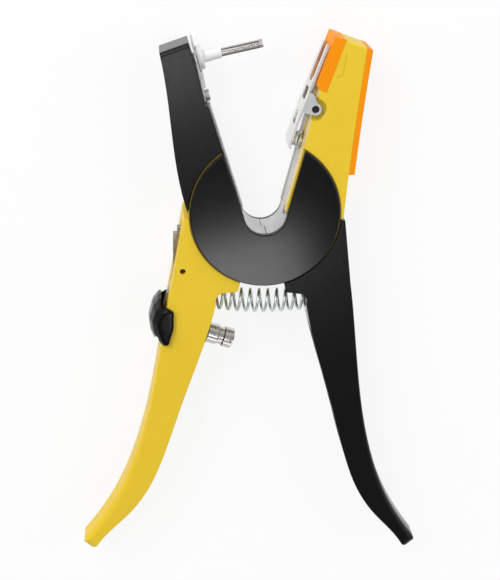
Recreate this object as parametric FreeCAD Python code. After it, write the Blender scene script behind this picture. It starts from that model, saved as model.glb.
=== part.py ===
import FreeCAD, Part
import math
import os

# A plier-type applicator that takes a tissue sample from an animal's ear.
# It lies on its rear cover. Z points out of the front cover, Y towards the jaws.
# The origin is on the axis that both arms turn about, level with the rear cover.
# Two crossed arms make it: the yellow arm has the right jaw and the left handle,
# and the black arm has the left jaw and the right handle. All sizes are in mm.

# Hub
TOTAL_THICK = 32.0
COVER_RADIUS = 37.4
COVER_THICK = 3.0
COVER_EDGE = 0.5
COVER_SIDE_GAP = 0.1
RIM_WIDTH = 0.5
RIM_BELOW_COVER = 0.8
RIM_SUNK = 0.5
CHEEK_THICK = 6.0
SLIDE_GAP = 0.3
SLOT_END_ANGLE = 12.0
WEB_INSET = 3.4
WEB_OPEN_FROM = 9.0
WEB_OPEN_TO = 105.0
JAW_NECK_FROM = 100.0
HANDLE_NECK_INSET = 0.3
CHEEK_WALL_LEFT = (180.0, 251.0)
CHEEK_WALL_RIGHT_TO = 80.0
BRIDGE_JAW_TO = 57.0
BRIDGE_INSET = 0.4
ARM_TO_RIM_GAP = 0.45

# Throat between the jaws
THROAT_RADIUS = 10.6
THROAT_LINER_THICK = 1.0
LINER_TO_COVER_GAP = 0.3
LEFT_WALL_TILT = 17.0
RIGHT_WALL_TILT = 15.0
SEAM_GAP = 0.3
SEAM_JOG = 1.6
LINER_FULL_WIDTH_TO = 3.0
LINER_STRIP_PROUD = 0.9
LINER_STRIP_WIDTH = 10.0
LINER_STRIP_TOP = 32.6

# Arc tongues on the black web, which run in grooves of the yellow cheeks
TONGUE_INSET = 12.9
TONGUE_WIDTH = 4.0
TONGUE_HEIGHT = 2.6
TONGUE_FROM = 172.0
TONGUE_TO = 350.0
TRAVEL = 32.0

# Thickness taper of the arms
JAW_END_THICK = 24.0
HANDLE_END_THICK = 16.5

# Jaws
YELLOW_JAW_TILT = 20.4
BLACK_JAW_TILT = -12.0
YELLOW_JAW_TOP = 93.5
YELLOW_JAW_OUTER = 17.8
YELLOW_TIP_ANGLE = -4.8
YELLOW_JAW_HEEL = (41.3, 18.7)
YELLOW_JAW_NECK = (20.4, 50.0)
YELLOW_WALL_TOP = 31.0
YELLOW_HEEL_WIDTH = 0.9
BLACK_JAW_FACE = -17.1
BLACK_JAW_TOP = 90.8
BLACK_JAW_BACK = -33.0
BLACK_JAW_BACK_TOP = 88.9
BLACK_TIP_ANGLE = 178.8
BLACK_THROAT_FACE = 10.5
BLACK_STEP = 59.7
BLACK_BACK_MID = (-47.3, 58.3)
BLACK_BACK_LOW = (-44.2, 28.7)
YELLOW_TOP_CHAMFER = 0.9
BLACK_TOP_ROUND = 2.2

# Handles, drawn for the black arm and mirrored for the yellow one
HANDLE_TOP_ANGLE = -6.0
HANDLE_INNER_ANGLE = -75.0
YELLOW_HANDLE_TURN = -4.05
YELLOW_HANDLE_EXTRA = 0.3
HANDLE_OUTER = [(43.6, -36.0), (48.6, -80.0), (53.4, -116.0), (61.9, -149.0), (71.5, -171.0)]
HANDLE_INNER = [
    (24.0, -62.8), (35.0, -104.0), (44.4, -140.0),
    (49.6, -154.7), (61.1, -173.6), (69.7, -183.3),
]
HANDLE_TOP_WIDTH = 2.0
HANDLE_TIP = (79.8, -190.9)
HANDLE_TIP_RADIUS = 3.8
HANDLE_TIP_SLOPE = -50.0
HANDLE_TIP_ROUND = 5.0
PALM_ROUNDING = ((0.0, 0.5), (0.25, 1.0), (0.5, 1.8), (0.7, 3.0), (0.85, 3.6), (1.0, 4.0))
SPRING_HOOK = (10.9, -41.9)
SPRING_HOOK_INNER = (18.3, -43.0)
SPRING_FACE = (21.4, -49.0)
SPRING_NOTCH_BULGE = (0.9, 1.3)
CHANNEL_WALL = 3.0
CHANNEL_TOP = -64.0
CHANNEL_END = -150.0
CHANNEL_RIBS = (-92.0, -114.0, -134.0)
CHANNEL_RIB_THICK = 2.4
CHANNEL_SIDE = 6.0
CHANNEL_SLANT = 1.35

# Sampling pin
PIN_ALONG = 80.7
PIN_TIP = 16.8
PIN_RADIUS = 2.1
PIN_BORE_RADIUS = 1.1
PIN_SLOT_WIDTH = 0.75
PIN_SLOT_FROM = -3.6
PIN_SLOT_END_WALL = 1.6
PIN_SLOTS = 4
PIN_FLANGE_RADIUS = 6.0
PIN_FLANGE_THICK = 3.3
PIN_FLANGE_EDGE = 0.6
PIN_CONE_RADIUS = 3.1
PIN_CONE_WALL = 0.35
PIN_CONE_LENGTH = 9.0
PIN_SHANK_RADIUS = 3.0
PIN_SHANK_LENGTH = 8.0
CORE_RADIUS = 0.75
CORE_BACK = 0.8
FACE_PLATE_THICK = 1.0
LOCK_PLATE_THICK = 1.3
LOCK_PLATE_WIDTH = 9.0
LOCK_PLATE_LOW = 65.9
LOCK_PLATE_BEVEL = 0.8
LINER_SCREW_ALONG = 61.8
LINER_SCREW_RADIUS = 2.8
LINER_SCREW_HEAD = 2.2
LINER_SCREW_SHANK = 1.5
LINER_SCREW_ROOM = 0.3

# Tag seat on the yellow jaw
PAD_FACE = 1.2
PAD_THICK = 5.8
PAD_LOW = 66.8
PAD_CHAMFER = 1.6
SOCKET_ALONG = 81.2
SOCKET_RADIUS = 4.75
BACK_STRIP_THICK = 3.0
BACK_STRIP_LOW = 19.2

# Tag clip
CLIP_PIVOT = (24.6, 51.9)
CLIP_PIN_RADIUS = 1.8
CLIP_PIN_SUNK = 0.5
CLIP_SHEET = 1.2
CLIP_WIDTH = 18.0
CLIP_FORK_GAP = 9.0
CLIP_FORK_ROOT = 72.5
CLIP_TIP = 88.0
CLIP_BEND = 68.0
CLIP_TAIL = 34.0
CLIP_TAIL_CURL = 0.9
CLIP_PLATE = 0.0
CLIP_TIP_GAP = 0.3
CLIP_EAR_TOP = 63.9
CLIP_EAR_LOW = 53.6
CLIP_EAR_RADIUS = 3.1
CLIP_RECESS_RADIUS = 5.4
CLIP_RECESS_DEPTH = 2.4
CLIP_EAR_GAP = 0.3
CLIP_SLOT_WIDTH = 9.0
CLIP_SLOT_CORNER = 1.2
CLIP_SLOTS = ((58.6, 65.0), (45.4, 51.6))
CLIP_FOLD = 2.0
CLIP_FOLD_ROOM = 1.1

# Thumb lever
LEVER_PIVOT = (-41.4, -29.5)
LEVER_PIN_RADIUS = 1.5
LEVER_PIN_SUNK = 4.5
LEVER_PLATE_THICK = 5.0
LEVER_SLOT_GAP = 0.4
LEVER_SLOT_LOW = -66.0
LEVER_OUTLINE = (
    (-43.7, -12.9), (-43.6, -9.6), (-41.4, -9.6), (-41.0, -16.0), (-38.8, -25.5),
    (-38.0, -31.0), (-41.0, -36.0), (-47.6, -62.0), (-53.0, -62.0), (-53.6, -54.0),
    (-48.6, -43.0), (-46.9, -37.1), (-46.0, -32.0), (-45.9, -21.8), (-45.7, -12.9),
)
LEVER_SLOT_MOUTH = ((-60.0, -6.0), (-39.4, -6.0), (-35.0, -30.0))
LEVER_SLOT_DEEP = -41.0
LEVER_SLOT_OUT = -70.0
THUMB_PAD_SIDE_GAP = 0.35
THUMB_PAD_REACH = 3.4
THUMB_PAD_FLOOR = 0.25
THUMB_PAD_MIDDLE = (
    (-50.0, -45.2), (-54.0, -45.6), (-57.2, -49.5), (-59.3, -56.5), (-58.8, -62.5),
    (-56.6, -68.0), (-53.0, -71.0), (-48.6, -69.5), (-45.8, -60.0), (-45.8, -50.0),
)
THUMB_PAD_FACET = (
    (-49.6, -49.6), (-51.6, -51.6), (-53.4, -54.4), (-54.6, -57.0), (-54.0, -60.5),
    (-53.0, -64.8), (-51.4, -68.6), (-49.6, -68.8), (-46.8, -60.0), (-46.4, -51.0),
)
THUMB_PAD_CROWN = ((0.0, 0.0), (0.1, 0.6), (0.28, 0.92), (0.5, 1.0), (0.72, 0.92), (0.9, 0.6), (1.0, 0.0))

# Stop barrel
BARREL_FOOT = (-30.2, -66.9)
BARREL_SLOPE = -18.3
WASHER_RADIUS = 7.2
WASHER_THICK = 1.2
BARREL_RADIUS = 5.3
BARREL_BODY = 6.0
BARREL_NECK_RADIUS = 4.6
BARREL_NECK = 2.6
BARREL_HEAD = 5.4
BARREL_STEM_RADIUS = 3.0
BARREL_STEM = 9.0
NUT_ACROSS_FLATS = 9.5
NUT_THICK = 3.0
BARREL_BOSS_THICK = 5.0
BARREL_BOSS_RIM = 0.6
BARREL_SEAT_GAP = 0.2
NUT_POCKET_SHARE = 0.62
NUT_POCKET_ROOM = 2.0

# Return spring
SPRING_RADIUS = 5.7
SPRING_WIRE_RADIUS = 0.75
SPRING_WIRE_SIDES = 6
SPRING_FACETS = 12
SPRING_COILS = 12
SPRING_DROP = -49.6
SPRING_POCKET_RADIUS = 7.3
SPRING_POCKET_DEPTH = 3.4
SPRING_SEAT_GAP = 0.1

# Clip spring
CLIP_SPRING_ALONG = 38.4
CLIP_SPRING_SEAT = 6.6
CLIP_SPRING_RADIUS = 3.6
CLIP_SPRING_WIRE_RADIUS = 0.55
CLIP_SPRING_COILS = 3
CLIP_SPRING_POCKET = 4.8
CLIP_SPRING_POCKET_DEPTH = 8.0

# Cover screws and pegs
FIXING_INSET = 6.0
FIXING_ANGLES = (196.0, 236.0, 280.0, 330.0)
SCREW_RADIUS = 1.5
SCREW_HEAD_RADIUS = 2.9
SCREW_LENGTH = 7.5
PEG_RADIUS = 2.0
PEG_LENGTH = 4.5
FIT_GAP = 0.05

# Derived levels
MID = TOTAL_THICK / 2.0
RIM_RADIUS = COVER_RADIUS + RIM_WIDTH
ARM_RADIUS = RIM_RADIUS + ARM_TO_RIM_GAP
FACE_Z = TOTAL_THICK - RIM_BELOW_COVER
CHEEK_TOP = TOTAL_THICK - COVER_THICK
CHEEK_BOTTOM = CHEEK_TOP - CHEEK_THICK
WEB_TOP = CHEEK_BOTTOM - SLIDE_GAP
WEB_HALF = WEB_TOP - MID
LINER_SEAT = THROAT_RADIUS + THROAT_LINER_THICK
LINER_LOW = COVER_THICK + LINER_TO_COVER_GAP
LINER_HIGH = CHEEK_TOP - LINER_TO_COVER_GAP
YELLOW_WALL = THROAT_RADIUS - LINER_STRIP_PROUD
WEB_RADIUS = COVER_RADIUS - WEB_INSET
FIXING_RADIUS = COVER_RADIUS - FIXING_INSET
TONGUE_RADIUS = COVER_RADIUS - TONGUE_INSET
RIM_TOP = FACE_Z - RIM_SUNK
LOCK_PLATE_HIGH = PIN_ALONG - PIN_FLANGE_RADIUS - SLIDE_GAP
BIG = 400.0
END_REACH = 2.5
HANDLE_CLEAR = 30.0


def vec(x, y, z=0.0):
    return FreeCAD.Vector(x, y, z)


def polar(radius, degrees, z=0.0):
    angle = math.radians(degrees)
    return vec(radius * math.cos(angle), radius * math.sin(angle), z)


def leaning(across, along, tilt, z=0.0):
    """A point given across and along a line that leans from Y by tilt degrees."""
    angle = math.radians(tilt)
    x = across * math.cos(angle) + along * math.sin(angle)
    y = along * math.cos(angle) - across * math.sin(angle)
    return vec(x, y, z)


def on_yellow(across, along, z=0.0):
    return leaning(across, along, YELLOW_JAW_TILT, z)


def on_black(across, along, z=0.0):
    return leaning(across, along, BLACK_JAW_TILT, z)


def across_axis(tilt):
    return leaning(1.0, 0.0, tilt)


def turned(shape, degrees, centre=(0.0, 0.0)):
    moved = shape.copy()
    moved.rotate(vec(centre[0], centre[1]), vec(0, 0, 1), degrees)
    return moved


def prism(points, low, high):
    wire = Part.makePolygon([vec(p.x, p.y, low) for p in points] + [vec(points[0].x, points[0].y, low)])
    return Part.Face(wire).extrude(vec(0, 0, high - low))


def prism_of_edges(edges, low, high):
    wire = Part.Wire(Part.__sortEdges__(edges))
    face = Part.Face(wire)
    face.translate(vec(0, 0, low))
    return face.extrude(vec(0, 0, high - low))


def disc(radius, low, high, centre=(0.0, 0.0)):
    return Part.makeCylinder(radius, high - low, vec(centre[0], centre[1], low))


def ring(inner, outer, low, high):
    return disc(outer, low, high).cut(disc(inner, low - 1, high + 1))


def sector(start, end, low, high, radius=BIG):
    """A wedge about the hub axis, from one angle round to a larger one."""
    edge_start = Part.makeLine(vec(0, 0, low), polar(radius, start, low))
    arc = Part.makeCircle(radius, vec(0, 0, low), vec(0, 0, 1), start, end)
    edge_end = Part.makeLine(polar(radius, end, low), vec(0, 0, low))
    return Part.Face(Part.Wire([edge_start, arc, edge_end])).extrude(vec(0, 0, high - low))


def spline(points):
    curve = Part.BSplineCurve()
    curve.interpolate(points)
    return curve


def cylinder_along(start, direction, radius, length):
    return Part.makeCylinder(radius, length, start, direction)


def single(shape):
    """The one solid that a boolean result holds."""
    solids = shape.Solids
    return max(solids, key=lambda solid: solid.Volume)


def end_edges(shape, direction):
    """The edges across the front and rear at the far end of a shape in a direction."""
    far = max(vertex.Point.dot(direction) for vertex in shape.Vertexes)
    found = []
    for edge in shape.Edges:
        ends = [vertex.Point for vertex in edge.Vertexes]
        level = edge.BoundBox.ZLength < 0.5
        high = all(abs(end.dot(direction) - far) < END_REACH for end in ends)
        if level and high and edge.Length > END_REACH:
            found.append(edge)
    return found


# Throat and taper

def throat_void(radius, left, right, low=-5.0, high=TOTAL_THICK + 5.0):
    """The U-shaped space between the jaws, with straight walls that lean outwards."""
    far = 140.0
    points = [
        leaning(-left, 0.0, -LEFT_WALL_TILT),
        leaning(right, 0.0, RIGHT_WALL_TILT),
        leaning(right, far, RIGHT_WALL_TILT),
        leaning(-left, far, -LEFT_WALL_TILT),
    ]
    return prism(points, low, high).fuse(disc(radius, low, high))


def taper_cuts():
    """Everything in front of and behind the arms' sloping faces."""
    jaw_drop = FACE_Z - (MID + JAW_END_THICK / 2.0)
    handle_drop = FACE_Z - (MID + HANDLE_END_THICK / 2.0)
    jaw_far = YELLOW_JAW_TOP
    handle_far = -HANDLE_TIP[1]
    reach = 1.3
    profile = [
        vec(0, 0, FACE_Z),
        vec(0, jaw_far * reach, FACE_Z - jaw_drop * reach),
        vec(0, jaw_far * reach, TOTAL_THICK * 2),
        vec(0, -handle_far * reach, TOTAL_THICK * 2),
        vec(0, -handle_far * reach, FACE_Z - handle_drop * reach),
        vec(0, 0, FACE_Z),
    ]
    front = Part.Face(Part.makePolygon(profile)).extrude(vec(BIG, 0, 0))
    front.translate(vec(-BIG / 2.0, 0, 0))
    rear = front.mirror(vec(0, 0, MID), vec(0, 0, 1))
    return front, rear


def tapered(shape):
    front, rear = taper_cuts()
    return single(shape.cut(front).cut(rear))


# Handles

def handle_curves(extra):
    """The handle's outer edge, moved outwards by an extra width, its inner edge and its end."""
    top_outer = polar(ARM_RADIUS + HANDLE_TOP_WIDTH, HANDLE_TOP_ANGLE)
    tip = vec(HANDLE_TIP[0], HANDLE_TIP[1])
    side = polar(HANDLE_TIP_RADIUS, HANDLE_TIP_SLOPE + 90.0)
    front = polar(HANDLE_TIP_RADIUS, HANDLE_TIP_SLOPE)
    wider = side * (extra / HANDLE_TIP_RADIUS)
    outer = spline([top_outer] + [vec(x + extra, y) for x, y in HANDLE_OUTER] + [tip + side + wider])
    inner = spline([vec(*SPRING_FACE)] + [vec(x, y) for x, y in HANDLE_INNER] + [tip - side])
    end = Part.Arc(tip + side + wider, tip + front + wider * 0.5, tip - side)
    return outer, inner, end


def tip_shaping():
    """Everything before the handle's far end, with that end's front and rear edges rounded."""
    tip = vec(HANDLE_TIP[0], HANDLE_TIP[1], MID)
    way = polar(1.0, HANDLE_TIP_SLOPE)
    half = face_height(HANDLE_TIP[1])
    bend = HANDLE_TIP_ROUND * (1.0 - math.sqrt(0.5))

    def at(back, height):
        return tip + way * (HANDLE_TIP_RADIUS - back) + vec(0, 0, height)

    def corner(sign):
        return Part.Arc(
            at(HANDLE_TIP_ROUND, half * sign),
            at(bend, (half - bend) * sign),
            at(0.0, (half - HANDLE_TIP_ROUND) * sign),
        ).toShape()

    line = [
        at(HANDLE_TIP_ROUND, half),
        at(HANDLE_TIP_ROUND, BIG),
        at(BIG, BIG),
        at(BIG, -BIG),
        at(HANDLE_TIP_ROUND, -BIG),
        at(HANDLE_TIP_ROUND, -half),
    ]
    edges = [Part.makeLine(a, b) for a, b in zip(line, line[1:])]
    flat_end = Part.makeLine(at(0.0, HANDLE_TIP_ROUND - half), at(0.0, half - HANDLE_TIP_ROUND))
    wire = Part.Wire(Part.__sortEdges__(edges + [corner(-1.0), flat_end, corner(1.0)]))
    side = polar(BIG, HANDLE_TIP_SLOPE + 90.0)
    return Part.Face(wire).translated(side * -1.0).extrude(side * 2.0)


def face_height(y):
    """Half the thickness of an arm's handle at a distance down it."""
    drop = FACE_Z - (MID + HANDLE_END_THICK / 2.0)
    return FACE_Z - MID + drop * min(y, 0.0) / -HANDLE_TIP[1]


def palm_section(point, rounding):
    """A slice across the handle, level in Y, with rounded corners on the palm side."""
    half = face_height(point.y)
    deep = 50.0
    bend = rounding * (1.0 - math.sqrt(0.5))

    def at(depth, height):
        return point + vec(-depth, 0, MID + height)

    top = Part.Arc(at(rounding, half), at(bend, half - bend), at(0.0, half - rounding)).toShape()
    low = Part.Arc(at(0.0, rounding - half), at(bend, bend - half), at(rounding, -half)).toShape()
    return Part.Wire([
        Part.makeLine(at(deep, half), at(rounding, half)),
        top,
        Part.makeLine(at(0.0, half - rounding), at(0.0, rounding - half)),
        low,
        Part.makeLine(at(rounding, -half), at(deep, -half)),
        Part.makeLine(at(deep, -half), at(deep, half)),
    ])


def palm_body(outer, start):
    """The handle's rounded palm side, lofted through slices that follow its outer edge."""
    first = outer.parameter(start)
    sections = []
    for share, rounding in PALM_ROUNDING:
        parameter = first + (outer.LastParameter - first) * share
        sections.append(palm_section(outer.value(parameter), rounding))
    beyond = outer.EndPoint + outer.tangent(outer.LastParameter)[0] * (HANDLE_TIP_RADIUS * 3.0)
    sections.append(palm_section(beyond, rounding))
    return Part.makeLoft(sections, True, False)


def handle_blank(extra=0.0):
    """The right-hand handle, full and solid, with its rounded palm side."""
    outer, inner, end = handle_curves(extra)
    hub_inner = polar(ARM_RADIUS, HANDLE_INNER_ANGLE)
    hub_outer = polar(ARM_RADIUS, HANDLE_TOP_ANGLE)
    hook = vec(*SPRING_HOOK)
    notch = vec(*SPRING_HOOK_INNER)
    face = vec(*SPRING_FACE)
    corner = (notch + face) * 0.5 + vec(*SPRING_NOTCH_BULGE)
    start = vec(HANDLE_OUTER[0][0] + extra, HANDLE_OUTER[0][1])
    split = outer.parameter(start)
    hub_arc = Part.makeCircle(ARM_RADIUS, vec(0, 0, 0), vec(0, 0, 1), HANDLE_INNER_ANGLE, HANDLE_TOP_ANGLE)
    upper = [
        hub_arc,
        Part.makeLine(hub_outer, outer.StartPoint),
        outer.toShape(outer.FirstParameter, split),
        Part.makeLine(start, face),
        Part.Arc(face, corner, notch).toShape(),
        Part.makeLine(notch, hook),
        Part.makeLine(hook, hub_inner),
    ]
    top = tapered(prism_of_edges(upper, -1.0, TOTAL_THICK + 1.0))
    clear = vec(HANDLE_CLEAR, 0)
    tip_corner = outer.EndPoint
    outside = polar(HANDLE_CLEAR, HANDLE_TIP_SLOPE + 90.0)
    lower = [
        Part.makeLine(face, start),
        Part.makeLine(start, start + clear),
        Part.makeLine(start + clear, tip_corner + outside),
        Part.makeLine(tip_corner + outside, tip_corner),
        end.toShape(),
        inner.toShape(),
    ]
    low = prism_of_edges(lower, -1.0, TOTAL_THICK + 1.0).common(palm_body(outer, start))
    return single(top.fuse(low.common(tip_shaping())))


def handle_channel():
    """The hollow of the right-hand handle, open towards the other handle."""
    outer = [vec(x - CHANNEL_WALL * CHANNEL_SLANT, y) for x, y in HANDLE_OUTER]
    inner = [vec(x - CHANNEL_SIDE, y) for x, y in HANDLE_INNER]
    above = CHANNEL_TOP + CHANNEL_SIDE
    outer_curve = spline([vec(outer[0].x + CHANNEL_SLANT, above)] + outer[1:])
    inner_curve = spline([vec(SPRING_FACE[0] - CHANNEL_SIDE, above)] + inner)
    edges = [
        outer_curve.toShape(),
        Part.makeLine(outer_curve.EndPoint, inner_curve.EndPoint),
        inner_curve.toShape(),
        Part.makeLine(inner_curve.StartPoint, outer_curve.StartPoint),
    ]
    solid = prism_of_edges(edges, -5.0, TOTAL_THICK + 5.0)
    front, rear = taper_cuts()
    solid = solid.cut(front.translated(vec(0, 0, -CHANNEL_WALL)))
    solid = solid.cut(rear.translated(vec(0, 0, CHANNEL_WALL)))
    span = Part.makeBox(BIG, CHANNEL_TOP - CHANNEL_END, BIG, vec(-BIG / 2, CHANNEL_END, -BIG / 2))
    solid = solid.common(span)
    for level in CHANNEL_RIBS:
        rib = Part.makeBox(BIG, CHANNEL_RIB_THICK, BIG, vec(-BIG / 2, level, -BIG / 2))
        solid = solid.cut(rib)
    return solid


def spring_pocket():
    """The round pocket in the right-hand handle that holds an end of the return spring."""
    start = vec(SPRING_FACE[0] + SPRING_POCKET_DEPTH - 20.0, SPRING_DROP, MID)
    return cylinder_along(start, vec(1, 0, 0), SPRING_POCKET_RADIUS, 20.0)


def as_yellow(shape):
    """The same shape for the yellow arm: mirrored across the tool and turned."""
    return turned(shape.mirror(vec(0, 0, 0), vec(1, 0, 0)), YELLOW_HANDLE_TURN)


# Yellow arm

def yellow_jaw():
    tip_inner = polar(ARM_RADIUS, YELLOW_TIP_ANGLE)
    tip_outer = polar(ARM_RADIUS + YELLOW_HEEL_WIDTH, YELLOW_TIP_ANGLE)
    right = spline([tip_outer, vec(*YELLOW_JAW_HEEL), on_yellow(YELLOW_JAW_OUTER, YELLOW_JAW_TOP)])
    points = [
        on_yellow(YELLOW_JAW_OUTER, YELLOW_JAW_TOP),
        on_yellow(PAD_FACE + PAD_THICK, YELLOW_JAW_TOP),
        on_yellow(PAD_FACE + PAD_THICK, PAD_LOW),
        on_yellow(PAD_FACE, PAD_LOW),
        vec(*YELLOW_JAW_NECK),
        leaning(YELLOW_WALL, YELLOW_WALL_TOP, RIGHT_WALL_TILT),
        leaning(YELLOW_WALL, 2.0, RIGHT_WALL_TILT),
        vec(20.0, -2.0),
        tip_inner,
        tip_outer,
    ]
    edges = [Part.makeLine(a, b) for a, b in zip(points, points[1:])]
    solid = tapered(prism_of_edges(edges + [right.toShape()], -1.0, TOTAL_THICK + 1.0))
    return solid.makeChamfer(YELLOW_TOP_CHAMFER, end_edges(solid, on_yellow(0.0, 1.0)))


def clip_recess(low, high):
    """The pocket that an ear of the clip turns in, open towards the other jaw."""
    pocket = disc(CLIP_RECESS_RADIUS, low, high, CLIP_PIVOT)
    margin = 1.6
    pivot = vec(*CLIP_PIVOT)
    mouth = prism([
        pivot + on_yellow(0.0, CLIP_RECESS_RADIUS),
        on_yellow(PAD_FACE, CLIP_EAR_TOP + margin),
        on_yellow(PAD_FACE - 6.0, CLIP_EAR_TOP + margin),
        on_yellow(PAD_FACE - 6.0, CLIP_EAR_LOW - margin),
        pivot + on_yellow(0.0, -CLIP_RECESS_RADIUS),
    ], low, high)
    return pocket.fuse(mouth)


def clip_face_level():
    """Height of the yellow jaw's front face at the clip."""
    slope = (FACE_Z - MID - JAW_END_THICK / 2.0) / YELLOW_JAW_TOP
    return FACE_Z - slope * CLIP_PIVOT[1]


def clip_floor():
    return clip_face_level() - CLIP_RECESS_DEPTH


def yellow_hub():
    """Two cheeks with a rim round each cover, open between them for the black web."""
    front_cut, rear_cut = taper_cuts()
    hub = disc(RIM_RADIUS, TOTAL_THICK - RIM_TOP, RIM_TOP).cut(front_cut).cut(rear_cut)
    gap_low = TOTAL_THICK - CHEEK_BOTTOM
    slot = disc(WEB_RADIUS + SLIDE_GAP, gap_low, CHEEK_BOTTOM)
    outside = ring(WEB_RADIUS - 1.0, RIM_RADIUS + 1.0, gap_low, CHEEK_BOTTOM)
    outside = outside.cut(sector(*CHEEK_WALL_LEFT, gap_low - 1, CHEEK_BOTTOM + 1))
    outside = outside.cut(sector(YELLOW_TIP_ANGLE, CHEEK_WALL_RIGHT_TO, gap_low - 1, CHEEK_BOTTOM + 1))
    wedge = sector(SLOT_END_ANGLE, 90.0, gap_low - 1, CHEEK_BOTTOM + 1)
    hub = hub.cut(slot.cut(wedge)).cut(outside)
    half_width = TONGUE_WIDTH / 2.0 + SLIDE_GAP
    groove = ring(TONGUE_RADIUS - half_width, TONGUE_RADIUS + half_width, 0.0, 1.0)
    groove = groove.common(sector(TONGUE_FROM - TRAVEL - 3.0, TONGUE_TO + 2.0, -1, 2))
    depth = TONGUE_HEIGHT + SLIDE_GAP
    front = stretched(groove, CHEEK_BOTTOM - SLIDE_GAP, CHEEK_BOTTOM - SLIDE_GAP + depth)
    rear = front.mirror(vec(0, 0, MID), vec(0, 0, 1))
    return hub.cut(front).cut(rear)


def yellow_throat():
    """The throat's space in the yellow arm: round below, with a nearer wall on the right."""
    space = throat_void(LINER_SEAT, LINER_SEAT + 0.2, YELLOW_WALL)
    far = YELLOW_WALL_TOP
    wall = prism([
        leaning(YELLOW_WALL, 0.0, RIGHT_WALL_TILT),
        leaning(YELLOW_WALL + far, 0.0, RIGHT_WALL_TILT),
        leaning(YELLOW_WALL + far, far, RIGHT_WALL_TILT),
        leaning(YELLOW_WALL, far, RIGHT_WALL_TILT),
    ], -BIG, BIG)
    wall = wall.common(sector(LINER_FULL_WIDTH_TO, 90.0, -BIG, BIG))
    running = disc(LINER_SEAT + SLIDE_GAP, -5.0, TOTAL_THICK + 5.0)
    left_side = seam_cut(-1.0).fuse(sector(90.0, 180.0, -5.0, TOTAL_THICK + 5.0))
    return space.cut(wall).fuse(running.common(left_side))


def stretched(flat, low, high):
    """A one-millimetre-thick slice at Z 0, made to reach from low to high."""
    face = [f for f in flat.Faces if abs(f.CenterOfMass.z) < 1e-6 and f.BoundBox.ZLength < 1e-6][0]
    return face.translated(vec(0, 0, low)).extrude(vec(0, 0, high - low))


def lever_slot():
    """The slot through the yellow handle's palm side that the lever plate lies in."""
    half = LEVER_PLATE_THICK / 2.0 + LEVER_SLOT_GAP
    points = [vec(x, y) for x, y in LEVER_SLOT_MOUTH]
    points.append(vec(LEVER_SLOT_DEEP, LEVER_SLOT_LOW))
    points.append(vec(LEVER_SLOT_OUT, LEVER_SLOT_LOW))
    return prism(points, MID - half, MID + half)


def barrel_axis():
    return polar(1.0, BARREL_SLOPE)


def barrel_start(offset):
    foot = vec(BARREL_FOOT[0], BARREL_FOOT[1], MID)
    return foot + barrel_axis() * offset


def barrel_boss():
    """The cross rib in the handle channel that carries the stop barrel."""
    start = barrel_start(-BARREL_BOSS_THICK)
    return cylinder_along(start, barrel_axis(), WASHER_RADIUS + BARREL_BOSS_RIM, BARREL_BOSS_THICK)


def barrel_hole():
    """The way through the boss, with a flat seat for the washer and a pocket for the nut."""
    axis = barrel_axis()
    bore = cylinder_along(barrel_start(-12.0), axis, BARREL_STEM_RADIUS, 20.0)
    seat = cylinder_along(barrel_start(0.0), axis, WASHER_RADIUS + BARREL_SEAT_GAP, BARREL_BODY)
    depth = NUT_THICK + NUT_POCKET_ROOM
    start = barrel_start(-BARREL_BOSS_THICK - depth)
    pocket = cylinder_along(start, axis, NUT_ACROSS_FLATS * NUT_POCKET_SHARE, depth)
    return bore.fuse([seat, pocket])


def cheek_holes():
    holes = []
    for angle in FIXING_ANGLES:
        centre = polar(FIXING_RADIUS, angle)
        at = (centre.x, centre.y)
        holes.append(disc(PEG_RADIUS + FIT_GAP, CHEEK_TOP - PEG_LENGTH - 0.3, CHEEK_TOP + 1, at))
        holes.append(disc(SCREW_RADIUS, -1.0, SCREW_LENGTH + 0.3, at))
    return holes


def socket_bore(low, high):
    """The round way through pad and jaw that the sampling pin enters."""
    start = on_yellow(low, SOCKET_ALONG, MID)
    return cylinder_along(start, across_axis(YELLOW_JAW_TILT), SOCKET_RADIUS, high - low)


def cover_recesses():
    """The round seats of both covers, sunk in the cheeks inside their rims."""
    radius = COVER_RADIUS + COVER_SIDE_GAP
    return [disc(radius, CHEEK_TOP, TOTAL_THICK + 1.0), disc(radius, -1.0, COVER_THICK)]


def clip_spring_pocket():
    start = on_yellow(CLIP_SPRING_SEAT - CLIP_SPRING_POCKET_DEPTH, CLIP_SPRING_ALONG, MID)
    return cylinder_along(start, across_axis(YELLOW_JAW_TILT), CLIP_SPRING_POCKET, CLIP_SPRING_POCKET_DEPTH)


def yellow_arm():
    extra = YELLOW_HANDLE_EXTRA
    handle = as_yellow(handle_blank(extra))
    handle = handle.cut(as_yellow(handle_channel()))
    handle = handle.cut(as_yellow(spring_pocket()))
    handle = handle.fuse(barrel_boss().common(as_yellow(handle_envelope(extra))))
    arm = yellow_hub().fuse([yellow_jaw(), handle, yellow_bridge()])
    holes = cover_recesses() + cheek_holes()
    holes.append(web_path())
    holes.append(yellow_throat())
    holes.append(liner_strip(YELLOW_WALL))
    holes.append(clip_fold_room(1.0))
    holes.append(clip_fold_room(-1.0))
    holes.append(clip_recess(clip_floor(), TOTAL_THICK))
    holes.append(clip_recess(0.0, TOTAL_THICK - clip_floor()))
    holes.append(clip_spring_pocket())
    holes.append(disc(CLIP_PIN_RADIUS, -1, TOTAL_THICK, CLIP_PIVOT))
    holes.append(lever_slot())
    holes.append(disc(LEVER_PIN_RADIUS, -1, TOTAL_THICK + 1, LEVER_PIVOT))
    holes.append(barrel_hole())
    holes.append(socket_bore(PAD_FACE, YELLOW_JAW_OUTER + 5.0))
    for hole in holes:
        arm = arm.cut(hole)
    return single(arm.removeSplitter())


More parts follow.
